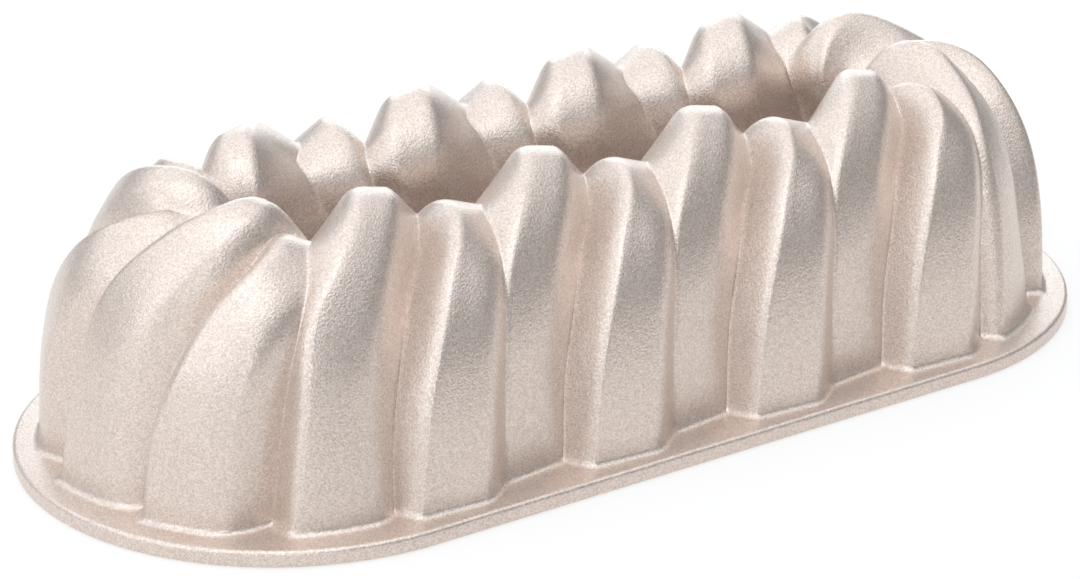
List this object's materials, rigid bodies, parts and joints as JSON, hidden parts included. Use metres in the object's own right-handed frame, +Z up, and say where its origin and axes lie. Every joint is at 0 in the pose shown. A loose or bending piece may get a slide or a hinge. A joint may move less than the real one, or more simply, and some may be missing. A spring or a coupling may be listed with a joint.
{
  "type": "fluted tube pan",
  "caption": "Oblong fluted tube pan in cast aluminium, shown rim down: twisted flutes climb from a flat rim over a rounded crest into a narrow centre tube.",
  "frame": {"origin": "on the plane the rim rests on, below the middle of the pan", "axes": "+X along the length, +Y across to the back, +Z up from the rim to the crest"},
  "size_m": [0.315, 0.142, 0.078],
  "materials": {
    "champagne_cast": "satin pearl champagne coating on cast aluminium, fine sparkle",
    "release_coat": "satin release coating"
  },
  "bodies": {
    "root": {"rim_flange": "champagne_cast", "tube_lip": "champagne_cast", "foot_flute_01": "champagne_cast", "crown_flute_01": "champagne_cast", "foot_flute_02": "champagne_cast", "crown_flute_02": "champagne_cast", "foot_flute_03": "champagne_cast", "crown_flute_03": "champagne_cast", "foot_flute_04": "champagne_cast", "crown_flute_04": "champagne_cast", "foot_flute_05": "champagne_cast", "crown_flute_05": "champagne_cast", "foot_flute_06": "champagne_cast", "crown_flute_06": "champagne_cast", "foot_flute_07": "champagne_cast", "crown_flute_07": "champagne_cast", "foot_flute_08": "champagne_cast", "crown_flute_08": "champagne_cast", "foot_flute_09": "champagne_cast", "crown_flute_09": "champagne_cast", "foot_flute_10": "champagne_cast", "crown_flute_10": "champagne_cast", "foot_flute_11": "champagne_cast", "crown_flute_11": "champagne_cast", "foot_flute_12": "champagne_cast", "crown_flute_12": "champagne_cast", "release_coat": "release_coat"}
  },
  "joints": []
}
